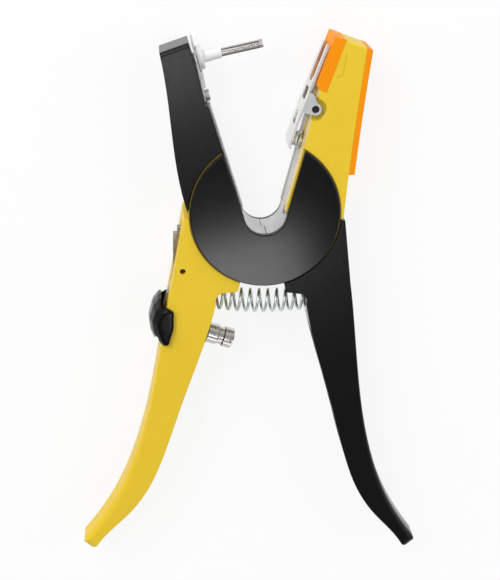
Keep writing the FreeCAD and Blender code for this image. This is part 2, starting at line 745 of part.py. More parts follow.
def handle_envelope(extra):
    """The outline of the right-hand handle as a plain prism, for trimming what is inside it."""
    outer, inner, end = handle_curves(extra)
    top = Part.makeLine(outer.StartPoint, inner.StartPoint)
    edges = [outer.toShape(), end.toShape(), inner.toShape(), top]
    return prism_of_edges(edges, 4.0, TOTAL_THICK - 4.0)


def yellow_bridge():
    """Joins the cheeks to the jaw and the handle across the gap beside the rim."""
    top = FACE_Z
    jaw_side = ring(WEB_RADIUS + SLIDE_GAP, ARM_RADIUS + 0.3, RIM_BELOW_COVER, top)
    jaw_side = jaw_side.common(sector(YELLOW_TIP_ANGLE + BRIDGE_INSET, BRIDGE_JAW_TO, 0, TOTAL_THICK))
    start = 180.0 - HANDLE_TOP_ANGLE + YELLOW_HANDLE_TURN
    end = 180.0 - HANDLE_INNER_ANGLE + YELLOW_HANDLE_TURN
    handle_side = ring(WEB_RADIUS + SLIDE_GAP, ARM_RADIUS + 0.3, RIM_BELOW_COVER, top)
    handle_side = handle_side.common(sector(start + BRIDGE_INSET, end - BRIDGE_INSET, 0, TOTAL_THICK))
    front, rear = taper_cuts()
    return jaw_side.fuse(handle_side).cut(front).cut(rear)


def web_path():
    """The space between the cheeks that the black web moves through."""
    low = TOTAL_THICK - CHEEK_BOTTOM
    path = disc(WEB_RADIUS + SLIDE_GAP, low, CHEEK_BOTTOM)
    return path.cut(sector(SLOT_END_ANGLE, 90.0, low - 1, CHEEK_BOTTOM + 1))


# Black arm

def black_jaw():
    tip = polar(ARM_RADIUS, BLACK_TIP_ANGLE)
    back = spline([
        on_black(BLACK_JAW_BACK, BLACK_JAW_BACK_TOP),
        vec(*BLACK_BACK_MID),
        vec(*BLACK_BACK_LOW),
        tip,
    ])
    foot_along = math.sqrt(ARM_RADIUS ** 2 - BLACK_THROAT_FACE ** 2)
    foot = leaning(-BLACK_THROAT_FACE, foot_along, -LEFT_WALL_TILT)
    foot_angle = math.degrees(math.atan2(foot.y, foot.x))
    arc = Part.makeCircle(ARM_RADIUS, vec(0, 0, 0), vec(0, 0, 1), foot_angle, BLACK_TIP_ANGLE)
    points = [
        foot,
        leaning(-BLACK_THROAT_FACE, BLACK_STEP, -LEFT_WALL_TILT),
        on_black(BLACK_JAW_FACE, BLACK_STEP - 0.3),
        on_black(BLACK_JAW_FACE, BLACK_JAW_TOP),
        on_black(BLACK_JAW_BACK, BLACK_JAW_BACK_TOP),
    ]
    edges = [Part.makeLine(a, b) for a, b in zip(points, points[1:])]
    solid = tapered(prism_of_edges(edges + [back.toShape(), arc], -1.0, TOTAL_THICK + 1.0))
    return solid.makeFillet(BLACK_TOP_ROUND, end_edges(solid, on_black(0.0, 1.0)))


def black_web():
    """The disc between the cheeks, with necks to the jaw and the handle and an arc tongue on each face."""
    low = MID - WEB_HALF
    web = disc(WEB_RADIUS, low, WEB_TOP)
    web = web.cut(sector(WEB_OPEN_FROM, WEB_OPEN_TO, low - 1, WEB_TOP + 1))
    neck = ring(WEB_RADIUS - 2.0, ARM_RADIUS + 0.5, low, WEB_TOP)
    jaw_neck = neck.common(sector(JAW_NECK_FROM, BLACK_TIP_ANGLE, low - 1, WEB_TOP + 1))
    neck_from = HANDLE_INNER_ANGLE + HANDLE_NECK_INSET
    neck_to = HANDLE_TOP_ANGLE - HANDLE_NECK_INSET
    handle_neck = neck.common(sector(neck_from, neck_to, low - 1, WEB_TOP + 1))
    inner = TONGUE_RADIUS - TONGUE_WIDTH / 2.0
    tongue = ring(inner, inner + TONGUE_WIDTH, low - TONGUE_HEIGHT, WEB_TOP + TONGUE_HEIGHT)
    tongue = tongue.common(sector(TONGUE_FROM, TONGUE_TO, -1, TOTAL_THICK + 1))
    return web.fuse([jaw_neck, handle_neck, tongue])


def pin_hole():
    start = on_black(BLACK_JAW_FACE - PIN_SHANK_LENGTH - 0.5, PIN_ALONG, MID)
    return cylinder_along(start, across_axis(BLACK_JAW_TILT), PIN_SHANK_RADIUS, PIN_SHANK_LENGTH + 3.0)


def black_arm():
    handle = handle_blank().cut(handle_channel()).cut(spring_pocket())
    arm = black_web().fuse([black_jaw(), handle])
    arm = arm.cut(throat_void(LINER_SEAT, BLACK_THROAT_FACE, 0.0))
    right_side = throat_void(LINER_SEAT + SLIDE_GAP, BLACK_THROAT_FACE, LINER_SEAT)
    right_side = right_side.common(sector(-90.0, 90.0, -1, TOTAL_THICK + 1))
    arm = arm.cut(right_side)
    arm = arm.cut(pin_hole())
    start = on_black(BLACK_JAW_FACE - 6.0, LINER_SCREW_ALONG, MID)
    arm = arm.cut(cylinder_along(start, across_axis(BLACK_JAW_TILT), LINER_SCREW_SHANK, 10.0))
    arm = arm.cut(liner_screw_room())
    return single(arm.removeSplitter())


def liner_screw_room():
    """The clear space round the head of the liner's screw, sunk into the step of the jaw."""
    start = on_black(BLACK_JAW_FACE, LINER_SCREW_ALONG, MID)
    reach = FACE_PLATE_THICK + LINER_SCREW_HEAD + LINER_SCREW_ROOM
    return cylinder_along(start, across_axis(BLACK_JAW_TILT), LINER_SCREW_RADIUS + LINER_SCREW_ROOM, reach)


# Throat liners

def seam_cut(side):
    """The half space on one side of the jogged seam at the bottom of the throat."""
    shift = SEAM_GAP / 2.0 * side
    far = 30.0 * side
    half = []
    level = MID - shift
    for low, high, jog in ((-5.0, level, -SEAM_JOG), (level, TOTAL_THICK + 5.0, SEAM_JOG)):
        x = jog / 2.0 + shift
        half.append(prism([vec(x, -30), vec(x + far, -30), vec(x + far, 0), vec(x, 0)], low, high))
    return half[0].fuse(half[1])


def liner_bottom(side):
    shell = ring(THROAT_RADIUS, LINER_SEAT, LINER_LOW, LINER_HIGH)
    return shell.common(seam_cut(side))


def black_throat_liner():
    """The bare strip on the black arm, from the seam up the throat wall to the step of the jaw."""
    low = MID - LINER_STRIP_WIDTH / 2.0
    high = MID + LINER_STRIP_WIDTH / 2.0
    thick = THROAT_LINER_THICK
    strip = prism([
        leaning(-BLACK_THROAT_FACE, 0.0, -LEFT_WALL_TILT),
        leaning(-BLACK_THROAT_FACE + thick, 0.0, -LEFT_WALL_TILT),
        leaning(-BLACK_THROAT_FACE + thick, BLACK_STEP - 0.5, -LEFT_WALL_TILT),
        leaning(-BLACK_THROAT_FACE, BLACK_STEP - 0.5, -LEFT_WALL_TILT),
    ], low, high)
    curved = ring(THROAT_RADIUS, LINER_SEAT, low, high).common(sector(163.0, 200.0, 0, TOTAL_THICK))
    curved = curved.cut(throat_void(0.1, BLACK_THROAT_FACE - thick, 0.0))
    strip = strip.cut(disc(THROAT_RADIUS, low - 1, high + 1))
    liner = liner_bottom(-1.0).fuse([strip, curved]).cut(liner_screw_room())
    return single(liner.removeSplitter())


def liner_strip(inner):
    """The narrow strip up the right-hand wall, from a distance off the throat's centre line."""
    return prism([
        leaning(inner, 0.0, RIGHT_WALL_TILT),
        leaning(LINER_SEAT, 0.0, RIGHT_WALL_TILT),
        leaning(LINER_SEAT, LINER_STRIP_TOP, RIGHT_WALL_TILT),
        leaning(inner, LINER_STRIP_TOP, RIGHT_WALL_TILT),
    ], MID - LINER_STRIP_WIDTH / 2.0, MID + LINER_STRIP_WIDTH / 2.0)


def yellow_throat_liner():
    """The bare strip on the yellow arm, full width below and narrower between the cheeks' walls."""
    lip = ring(THROAT_RADIUS, LINER_SEAT, LINER_LOW, LINER_HIGH)
    lip = lip.common(sector(-10.0, LINER_FULL_WIDTH_TO, -1, TOTAL_THICK + 1))
    liner = liner_bottom(1.0).fuse([lip, liner_strip(YELLOW_WALL)])
    return single(liner.removeSplitter())


# Covers and their fixings

def front_hub_cover():
    cover = disc(COVER_RADIUS, CHEEK_TOP, TOTAL_THICK)
    cover = cover.cut(throat_void(THROAT_RADIUS, THROAT_RADIUS, THROAT_RADIUS))
    flat = [e for e in cover.Edges if e.BoundBox.ZLength < 0.01]
    top = [e for e in flat if abs(e.BoundBox.ZMin - TOTAL_THICK) < 0.01]
    cover = cover.makeChamfer(COVER_EDGE, top)
    for angle in FIXING_ANGLES:
        centre = polar(FIXING_RADIUS, angle)
        cover = cover.fuse(disc(PEG_RADIUS, CHEEK_TOP - PEG_LENGTH, CHEEK_TOP + 0.5, (centre.x, centre.y)))
    return single(cover)


def rear_hub_cover():
    cover = disc(COVER_RADIUS, 0.0, COVER_THICK)
    cover = cover.cut(throat_void(THROAT_RADIUS, THROAT_RADIUS, THROAT_RADIUS))
    low = [e for e in cover.Edges if abs(e.BoundBox.ZMax) < 0.01 and e.BoundBox.ZLength < 0.01]
    cover = cover.makeChamfer(COVER_EDGE, low)
    for angle in FIXING_ANGLES:
        cover = cover.cut(screw_at(angle, FIT_GAP))
    return single(cover)


def screw_at(angle, grow):
    """A countersunk screw that enters from the rear, grown a little to cut its own hole."""
    centre = polar(FIXING_RADIUS, angle)
    sink = 0.4
    head = Part.makeCone(SCREW_HEAD_RADIUS + grow, SCREW_RADIUS + grow, 1.6, vec(centre.x, centre.y, sink))
    shank = disc(SCREW_RADIUS + grow, sink, SCREW_LENGTH, (centre.x, centre.y))
    screw = head.fuse(shank)
    if grow:
        screw = screw.fuse(disc(SCREW_HEAD_RADIUS + grow, -1.0, sink, (centre.x, centre.y)))
    else:
        screw = screw.cut(cross_slot(centre, sink))
    return screw


def cross_slot(centre, level):
    arm = Part.makeBox(3.0, 0.8, 0.9, vec(centre.x - 1.5, centre.y - 0.4, level))
    other = Part.makeBox(0.8, 3.0, 0.9, vec(centre.x - 0.4, centre.y - 1.5, level))
    return arm.fuse(other)


def cover_screws():
    return Part.makeCompound([single(screw_at(angle, 0.0)) for angle in FIXING_ANGLES])


# Sampling pin

def black_cylinder(start, end, radius):
    """A round piece on the pin's axis, between two distances across the black jaw."""
    return cylinder_along(on_black(start, PIN_ALONG, MID), across_axis(BLACK_JAW_TILT), radius, end - start)


def flange_levels():
    low = BLACK_JAW_FACE + FACE_PLATE_THICK
    return low, low + PIN_FLANGE_THICK


def pin_base():
    low, high = flange_levels()
    flange = black_cylinder(low, high, PIN_FLANGE_RADIUS)
    flange = flange.makeChamfer(PIN_FLANGE_EDGE, [e for e in flange.Edges if e.isClosed()])
    cone = Part.makeCone(PIN_CONE_RADIUS, PIN_RADIUS + PIN_CONE_WALL, PIN_CONE_LENGTH,
                         on_black(high, PIN_ALONG, MID), across_axis(BLACK_JAW_TILT))
    shank = black_cylinder(BLACK_JAW_FACE - PIN_SHANK_LENGTH, low + 0.5, PIN_SHANK_RADIUS - FIT_GAP)
    base = flange.fuse([cone, shank])
    base = base.cut(black_cylinder(low - 2.0, PIN_TIP, PIN_RADIUS))
    return single(base)


def sampling_pin():
    """A slotted tube with a crown of cutting teeth at its end."""
    low = flange_levels()[0]
    tube = black_cylinder(low - 2.0, PIN_TIP, PIN_RADIUS)
    tube = tube.cut(black_cylinder(low - 1.0, PIN_TIP + 1.0, PIN_BORE_RADIUS))
    at = on_black(0.0, PIN_ALONG, MID)
    length = PIN_TIP - PIN_SLOT_END_WALL - PIN_SLOT_FROM
    for index in range(PIN_SLOTS):
        corner = vec(PIN_SLOT_FROM, -PIN_SLOT_WIDTH / 2, PIN_BORE_RADIUS - 0.3)
        slot = Part.makeBox(length, PIN_SLOT_WIDTH, PIN_RADIUS * 2.0, corner)
        slot.rotate(vec(0, 0, 0), vec(1, 0, 0), 45.0 + index * 360.0 / PIN_SLOTS)
        slot.rotate(vec(0, 0, 0), vec(0, 0, 1), -BLACK_JAW_TILT)
        slot.translate(at)
        tube = tube.cut(slot)
    for index in range(2):
        notch = Part.makeBox(1.6, 1.1, 8.0, vec(PIN_TIP - 0.9, -0.55, -4.0))
        notch.rotate(vec(0, 0, 0), vec(1, 0, 0), index * 90.0)
        notch.rotate(vec(0, 0, 0), vec(0, 0, 1), -BLACK_JAW_TILT)
        notch.translate(at)
        tube = tube.cut(notch)
    return single(tube)


def pin_core():
    """The push rod inside the slotted pin."""
    low = flange_levels()[0]
    return black_cylinder(low - 1.0, PIN_TIP - CORE_BACK, CORE_RADIUS)


def jaw_face_plate():
    """The bare plate on the upper face of the black jaw."""
    low = MID - LINER_STRIP_WIDTH / 2.0
    high = MID + LINER_STRIP_WIDTH / 2.0
    start = BLACK_STEP + 0.1
    plate = prism([
        on_black(BLACK_JAW_FACE, start),
        on_black(BLACK_JAW_FACE + FACE_PLATE_THICK, start),
        on_black(BLACK_JAW_FACE + FACE_PLATE_THICK, BLACK_JAW_TOP + 0.6),
        on_black(BLACK_JAW_FACE, BLACK_JAW_TOP + 0.6),
    ], low, high)
    plate = plate.cut(black_cylinder(BLACK_JAW_FACE - 1, 0.0, PIN_SHANK_RADIUS))
    start = on_black(BLACK_JAW_FACE - 1.0, LINER_SCREW_ALONG, MID)
    return single(plate.cut(cylinder_along(start, across_axis(BLACK_JAW_TILT), LINER_SCREW_SHANK, 5.0)))


def pin_lock_plate():
    """The narrow plate beside the pin's flange that keeps the pin from turning."""
    plate_top = BLACK_JAW_FACE + FACE_PLATE_THICK
    half = LOCK_PLATE_WIDTH / 2.0
    return prism([
        on_black(plate_top, LOCK_PLATE_LOW),
        on_black(plate_top + LOCK_PLATE_THICK, LOCK_PLATE_LOW + LOCK_PLATE_BEVEL),
        on_black(plate_top + LOCK_PLATE_THICK, LOCK_PLATE_HIGH),
        on_black(plate_top, LOCK_PLATE_HIGH),
    ], MID - half, MID + half)


def liner_screw():
    """The cheese-head screw at the step of the black jaw."""
    axis = across_axis(BLACK_JAW_TILT)
    seat = BLACK_JAW_FACE + FACE_PLATE_THICK
    foot = on_black(seat, LINER_SCREW_ALONG, MID)
    head = cylinder_along(foot, axis, LINER_SCREW_RADIUS, LINER_SCREW_HEAD)
    shank = cylinder_along(on_black(BLACK_JAW_FACE - 5.0, LINER_SCREW_ALONG, MID), axis, LINER_SCREW_SHANK,
                           5.0 + FACE_PLATE_THICK + 0.5)
    screw = head.fuse(shank)
    slot = Part.makeBox(1.2, 8.0, 0.9, vec(seat + LINER_SCREW_HEAD - 0.9, -4.0, -0.45))
    slot.rotate(vec(0, 0, 0), vec(0, 0, 1), -BLACK_JAW_TILT)
    slot.translate(on_black(0.0, LINER_SCREW_ALONG, MID))
    return single(screw.cut(slot))


# Tag seat

def tag_pad():
    """The orange pad that the tag is held against, with the socket that the pin enters."""
    half = JAW_END_THICK / 2.0
    points = [
        on_yellow(PAD_FACE, YELLOW_JAW_TOP),
        on_yellow(PAD_FACE + PAD_THICK, YELLOW_JAW_TOP),
        on_yellow(PAD_FACE + PAD_THICK, PAD_LOW),
        on_yellow(PAD_FACE + PAD_CHAMFER, PAD_LOW),
        on_yellow(PAD_FACE, PAD_LOW + PAD_CHAMFER),
    ]
    pad = prism(points, MID - half - 3.0, MID + half + 3.0)
    pad = tapered(pad)
    pad = pad.cut(socket_bore(PAD_FACE - 2.0, YELLOW_JAW_OUTER))
    return single(pad)


def jaw_back_strip():
    """The orange strip down the outer side of the yellow jaw."""
    outer = YELLOW_JAW_OUTER + BACK_STRIP_THICK
    inner_curve = spline([
        polar(ARM_RADIUS + YELLOW_HEEL_WIDTH, YELLOW_TIP_ANGLE),
        vec(*YELLOW_JAW_HEEL),
        on_yellow(YELLOW_JAW_OUTER, YELLOW_JAW_TOP),
    ])
    offset = across_axis(YELLOW_JAW_TILT) * BACK_STRIP_THICK
    outer_curve = inner_curve.toShape().translated(offset)
    inner_edge = inner_curve.toShape()
    edges = [
        inner_edge,
        Part.makeLine(inner_curve.EndPoint, inner_curve.EndPoint + offset),
        outer_curve,
        Part.makeLine(inner_curve.StartPoint + offset, inner_curve.StartPoint),
    ]
    strip = prism_of_edges(edges, 0.0, TOTAL_THICK)
    strip = strip.common(Part.makeBox(BIG, BIG, BIG, vec(-BIG / 2, BACK_STRIP_LOW, -BIG / 2)))
    strip = tapered(strip)
    return single(strip)


# Tag clip

def clip_profile():
    """Side view of the clip's plate, from its tail up to the tips of the fork."""
    half = CLIP_SHEET / 2.0
    outline = [
        (CLIP_PLATE + CLIP_TAIL_CURL, CLIP_TAIL),
        (CLIP_PLATE, CLIP_TAIL + 2.5),
        (CLIP_PLATE, CLIP_BEND),
        (PAD_FACE - CLIP_TIP_GAP - half, CLIP_TIP),
    ]
    front = [on_yellow(a - half, b) for a, b in outline]
    back = [on_yellow(a + half, b) for a, b in reversed(outline)]
    return front + back


def clip_window(low, high, width, corner):
    """A slot with rounded corners through the clip's plate, between two distances along the jaw."""
    reach = CLIP_WIDTH / 4.0
    box = Part.makeBox(reach * 2.0, high - low, width, vec(-reach, low, -width / 2.0))
    sides = [e for e in box.Edges if e.BoundBox.XLength > reach]
    box = box.makeFillet(corner, sides)
    box.rotate(vec(0, 0, 0), vec(0, 0, 1), -YELLOW_JAW_TILT)
    box.translate(vec(0, 0, MID))
    return box


def clip_bar(points, low, high):
    """A bar along the yellow jaw, from its outline across the jaw and in height."""
    corners = [on_yellow(across, low, height) for across, height in points]
    face = Part.Face(Part.makePolygon(corners + [corners[0]]))
    return face.extrude(on_yellow(0.0, high - low))


def clip_fold(top, side):
    """The slanting fold between the plate and an ear, and what lies outside it."""
    outer = CLIP_PLATE - CLIP_SHEET / 2.0
    turn = CLIP_SHEET * math.tan(math.radians(22.5))
    fold = [
        (outer, top - side * CLIP_FOLD),
        (outer + CLIP_FOLD, top),
        (outer + CLIP_FOLD + turn, top - side * CLIP_SHEET),
        (outer + CLIP_SHEET, top - side * (CLIP_FOLD + turn)),
    ]
    waste = [
        (outer - CLIP_SHEET, top - side * (CLIP_FOLD + CLIP_SHEET)),
        (outer + CLIP_FOLD + CLIP_SHEET, top + side * CLIP_SHEET),
        (outer - CLIP_SHEET, top + side * CLIP_SHEET),
    ]
    low = CLIP_EAR_LOW
    high = CLIP_EAR_TOP
    return clip_bar(fold, low, high), clip_bar(waste, low - 1.0, high + 1.0)


def clip_fold_room(side):
    """The slanting pocket in the jaw that a fold of the clip turns in."""
    floor = MID + side * (clip_floor() - MID)
    inner = CLIP_PLATE + CLIP_SHEET / 2.0
    turn = CLIP_SHEET * math.tan(math.radians(22.5))
    deep = CLIP_FOLD + turn - CLIP_EAR_GAP - CLIP_SHEET + CLIP_FOLD_ROOM
    start = inner - PAD_FACE - CLIP_SHEET
    room = [
        (start, floor - side * (deep + inner - start)),
        (inner + deep, floor),
        (inner + deep, floor + side * CLIP_FOLD),
        (start, floor + side * CLIP_FOLD),
    ]
    return clip_bar(room, CLIP_EAR_LOW - CLIP_FOLD_ROOM, CLIP_EAR_TOP + CLIP_FOLD_ROOM)


def clip_ear(level, side):
    """The folded ear that carries the clip's pivot, at one side of the jaw."""
    low, high = sorted((level, level + side * CLIP_SHEET))
    pivot = vec(*CLIP_PIVOT)
    plate = CLIP_PLATE - CLIP_SHEET / 2.0
    rim = disc(CLIP_EAR_RADIUS, low, high, CLIP_PIVOT)
    web = prism([
        on_yellow(plate, CLIP_EAR_LOW),
        on_yellow(plate, CLIP_EAR_TOP),
        on_yellow(plate + 2.0, CLIP_EAR_TOP),
        pivot + on_yellow(CLIP_EAR_RADIUS, 0.0),
        pivot + on_yellow(0.0, -CLIP_EAR_RADIUS),
    ], low, high)
    return rim.fuse(web)


def tag_clip():
    half = CLIP_WIDTH / 2.0
    plate = prism(clip_profile(), MID - half, MID + half)
    level = clip_floor() + CLIP_EAR_GAP
    wings = prism([
        on_yellow(CLIP_PLATE - CLIP_SHEET / 2.0, CLIP_EAR_LOW),
        on_yellow(CLIP_PLATE + CLIP_SHEET / 2.0, CLIP_EAR_LOW),
        on_yellow(CLIP_PLATE + CLIP_SHEET / 2.0, CLIP_EAR_TOP),
        on_yellow(CLIP_PLATE - CLIP_SHEET / 2.0, CLIP_EAR_TOP),
    ], TOTAL_THICK - level - CLIP_SHEET, level + CLIP_SHEET)
    clip = plate.fuse([wings, clip_ear(level, 1.0), clip_ear(TOTAL_THICK - level, -1.0)])
    for top, side in ((level + CLIP_SHEET, 1.0), (TOTAL_THICK - level - CLIP_SHEET, -1.0)):
        fold, waste = clip_fold(top, side)
        clip = clip.fuse(fold).cut(waste)
    corner = CLIP_FORK_GAP / 2.0 - FIT_GAP
    clip = clip.cut(clip_window(CLIP_FORK_ROOT - corner, CLIP_TIP + CLIP_FORK_GAP, CLIP_FORK_GAP, corner))
    for low, high in CLIP_SLOTS:
        clip = clip.cut(clip_window(low, high, CLIP_SLOT_WIDTH, CLIP_SLOT_CORNER))
    clip = clip.cut(disc(CLIP_PIN_RADIUS + FIT_GAP, -1, TOTAL_THICK + 1, CLIP_PIVOT))
    return single(clip.removeSplitter())


def clip_pin():
    level = clip_floor() + CLIP_EAR_GAP + CLIP_SHEET - CLIP_PIN_SUNK
    return disc(CLIP_PIN_RADIUS, TOTAL_THICK - level, level, CLIP_PIVOT)


def coil_spring(start, direction, radius, wire, pitches):
    """A spring of bent wire: many-sided slices of the wire, joined along a coil about Z."""
    sections = []
    level = 0.0
    turn = 0.0
    step = 1.0 / SPRING_FACETS
    for pitch in pitches + [0.0]:
        count = SPRING_FACETS if pitch else 1
        for index in range(count):
            angle = turn * 360.0
            outward = polar(1.0, angle)
            along = polar(1.0, angle + 90.0) + vec(0, 0, pitch / (2.0 * math.pi * radius))
            upward = outward.cross(along.normalize())
            centre = polar(radius, angle, level)
            corners = []
            for side in range(SPRING_WIRE_SIDES + 1):
                around = math.radians(360.0 * side / SPRING_WIRE_SIDES)
                across = outward * (wire * math.cos(around))
                corners.append(centre + across + upward * (wire * math.sin(around)))
            sections.append(Part.makePolygon(corners))
            turn += step
            level += pitch * step
    coil = Part.makeLoft(sections, True, True)
    coil.Placement = FreeCAD.Placement(start, FreeCAD.Rotation(vec(0, 0, 1), direction))
    return coil


def spring_pitches(length, wire, coils):
    """Closed end turns and even turns between them."""
    closed = wire * 2.0 + 0.1
    even = (length - 2.0 * wire - 2.0 * closed) / (coils - 2)
    return [closed] + [even] * (coils - 2) + [closed]


def clip_spring():
    wire = CLIP_SPRING_WIRE_RADIUS
    foot = CLIP_PLATE + CLIP_SHEET / 2.0 + SPRING_SEAT_GAP
    length = CLIP_SPRING_SEAT - SPRING_SEAT_GAP - foot
    pitches = spring_pitches(length, wire, CLIP_SPRING_COILS)
    start = on_yellow(foot + wire, CLIP_SPRING_ALONG, MID)
    return coil_spring(start, across_axis(YELLOW_JAW_TILT), CLIP_SPRING_RADIUS, wire, pitches)


# Thumb lever

def thumb_rocker():
    """The steel plate that turns on the lever pin, with a catch at its upper end."""
    half = LEVER_PLATE_THICK / 2.0
    plate = prism([vec(x, y) for x, y in LEVER_OUTLINE], MID - half, MID + half)
    plate = plate.cut(disc(LEVER_PIN_RADIUS + FIT_GAP, 0, TOTAL_THICK, LEVER_PIVOT))
    return single(plate)


def thumb_pad():
    """The black moulded thumb piece, a many-sided saddle over the palm side of the yellow handle."""
    sections = []
    for share, bulge in THUMB_PAD_CROWN:
        level = THUMB_PAD_FLOOR + (TOTAL_THICK - 2.0 * THUMB_PAD_FLOOR) * share
        corners = []
        for facet, middle in zip(THUMB_PAD_FACET, THUMB_PAD_MIDDLE):
            point = vec(*facet) * (1.0 - bulge) + vec(*middle) * bulge
            corners.append(point + vec(0, 0, level))
        sections.append(Part.makePolygon(corners + [corners[0]]))
    solid = Part.makeLoft(sections, True, True)
    solid = solid.cut(as_yellow(handle_saddle()))
    return single(solid.cut(thumb_rocker()))


def handle_saddle():
    """The right-hand handle grown by the gap that the thumb piece needs over it."""
    outer = handle_curves(YELLOW_HANDLE_EXTRA)[0]
    reach = THUMB_PAD_REACH
    shifted = outer.toShape().translated(vec(reach, 0, 0))
    first = shifted.valueAt(shifted.FirstParameter)
    last = shifted.valueAt(shifted.LastParameter)
    edges = [
        shifted,
        Part.makeLine(last, vec(0, last.y)),
        Part.makeLine(vec(0, last.y), vec(0, first.y)),
        Part.makeLine(vec(0, first.y), first),
    ]
    solid = prism_of_edges(edges, -1.0, TOTAL_THICK + 1.0)
    front, rear = taper_cuts()
    solid = solid.cut(front.translated(vec(0, 0, THUMB_PAD_SIDE_GAP)))
    return solid.cut(rear.translated(vec(0, 0, -THUMB_PAD_SIDE_GAP)))


def lever_pin():
    return disc(LEVER_PIN_RADIUS, LEVER_PIN_SUNK, TOTAL_THICK - LEVER_PIN_SUNK, LEVER_PIVOT)


# Stop barrel

def stop_washer():
    washer = cylinder_along(barrel_start(0.0), barrel_axis(), WASHER_RADIUS, WASHER_THICK)
    return washer.cut(cylinder_along(barrel_start(-1.0), barrel_axis(), BARREL_STEM_RADIUS, 5.0))


def stop_barrel():
    """The stepped nickel-plated barrel that the other handle closes against."""
    profile = [
        (-BARREL_STEM, 0.0),
        (-BARREL_STEM, BARREL_STEM_RADIUS),
        (WASHER_THICK, BARREL_STEM_RADIUS),
        (WASHER_THICK, BARREL_RADIUS - 0.4),
        (WASHER_THICK + 0.4, BARREL_RADIUS),
        (WASHER_THICK + BARREL_BODY - 0.4, BARREL_RADIUS),
        (WASHER_THICK + BARREL_BODY, BARREL_RADIUS - 0.4),
        (WASHER_THICK + BARREL_BODY, BARREL_NECK_RADIUS),
        (WASHER_THICK + BARREL_BODY + BARREL_NECK, BARREL_NECK_RADIUS),
        (WASHER_THICK + BARREL_BODY + BARREL_NECK, BARREL_RADIUS - 0.5),
        (WASHER_THICK + BARREL_BODY + BARREL_NECK + 0.5, BARREL_RADIUS),
        (WASHER_THICK + BARREL_BODY + BARREL_NECK + BARREL_HEAD - 0.6, BARREL_RADIUS),
        (WASHER_THICK + BARREL_BODY + BARREL_NECK + BARREL_HEAD, BARREL_RADIUS - 0.6),
        (WASHER_THICK + BARREL_BODY + BARREL_NECK + BARREL_HEAD, 0.0),
    ]
    points = [vec(a, b, 0) for a, b in profile]
    face = Part.Face(Part.makePolygon(points + [points[0]]))
    barrel = face.revolve(vec(0, 0, 0), vec(1, 0, 0), 360)
    end = WASHER_THICK + BARREL_BODY + BARREL_NECK + BARREL_HEAD
    slot = Part.makeBox(3.0, 1.4, 20.0, vec(end - 2.0, -0.7, -10.0))
    barrel = barrel.cut(slot)
    barrel.rotate(vec(0, 0, 0), vec(0, 0, 1), BARREL_SLOPE)
    barrel.translate(barrel_start(0.0))
    return single(barrel)


def stop_nut():
    radius = NUT_ACROSS_FLATS / math.sqrt(3.0)
    corners = [polar(radius, 60.0 * index) for index in range(7)]
    nut = Part.Face(Part.makePolygon(corners)).extrude(vec(0, 0, NUT_THICK))
    nut.rotate(vec(0, 0, 0), vec(0, 1, 0), -90.0)
    nut.rotate(vec(0, 0, 0), vec(0, 0, 1), BARREL_SLOPE)
    nut.translate(barrel_start(-BARREL_BOSS_THICK))
    return single(nut.cut(cylinder_along(barrel_start(-20.0), barrel_axis(), BARREL_STEM_RADIUS, 30.0)))


# Return spring

def spring_ends():
    right = vec(SPRING_FACE[0] + SPRING_POCKET_DEPTH, SPRING_DROP, MID)
    left = turned(Part.Vertex(vec(-right.x, right.y, MID)), YELLOW_HANDLE_TURN).Point
    return left, right


def return_spring():
    left, right = spring_ends()
    direction = right - left
    wire = SPRING_WIRE_RADIUS
    pitches = spring_pitches(direction.Length - 2.0 * SPRING_SEAT_GAP, wire, SPRING_COILS)
    direction.normalize()
    start = left + direction * (SPRING_SEAT_GAP + wire)
    return coil_spring(start, direction, SPRING_RADIUS, wire, pitches)


def write(name, shape):
    shape.exportStep("parts/" + name + ".step")


os.makedirs("parts", exist_ok=True)

NODES = {
    "yellow_arm": yellow_arm,
    "black_arm": black_arm,
    "front_hub_cover": front_hub_cover,
    "rear_hub_cover": rear_hub_cover,
    "cover_screws": cover_screws,
    "black_throat_liner": black_throat_liner,
    "yellow_throat_liner": yellow_throat_liner,
    "pin_base": pin_base,
    "sampling_pin": sampling_pin,
    "pin_core": pin_core,
    "jaw_face_plate": jaw_face_plate,
    "pin_lock_plate": pin_lock_plate,
    "liner_screw": liner_screw,
    "tag_pad": tag_pad,
    "jaw_back_strip": jaw_back_strip,
    "tag_clip": tag_clip,
    "clip_pin": clip_pin,
    "clip_spring": clip_spring,
    "thumb_rocker": thumb_rocker,
    "thumb_pad": thumb_pad,
    "lever_pin": lever_pin,
    "stop_washer": stop_washer,
    "stop_barrel": stop_barrel,
    "stop_nut": stop_nut,
    "return_spring": return_spring,
}

for node_name, make in NODES.items():
    write(node_name, make())
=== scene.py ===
import math
import bpy
import numpy as np
from mathutils import Matrix, Vector


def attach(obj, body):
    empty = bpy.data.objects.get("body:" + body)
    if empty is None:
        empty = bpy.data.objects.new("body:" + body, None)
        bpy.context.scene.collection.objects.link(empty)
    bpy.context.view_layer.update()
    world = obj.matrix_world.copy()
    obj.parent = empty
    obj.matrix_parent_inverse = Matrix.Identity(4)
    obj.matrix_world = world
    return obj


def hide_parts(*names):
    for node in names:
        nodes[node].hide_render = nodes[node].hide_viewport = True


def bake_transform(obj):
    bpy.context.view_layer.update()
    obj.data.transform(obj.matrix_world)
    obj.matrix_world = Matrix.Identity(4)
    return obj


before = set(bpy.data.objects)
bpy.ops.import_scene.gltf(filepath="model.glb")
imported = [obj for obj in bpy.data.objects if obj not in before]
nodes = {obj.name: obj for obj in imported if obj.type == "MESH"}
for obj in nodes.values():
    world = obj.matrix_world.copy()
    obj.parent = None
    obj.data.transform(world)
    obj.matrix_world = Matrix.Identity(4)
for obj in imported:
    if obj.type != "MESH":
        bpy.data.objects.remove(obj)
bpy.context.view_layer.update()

MM = 0.001
MID = 16.0 * MM

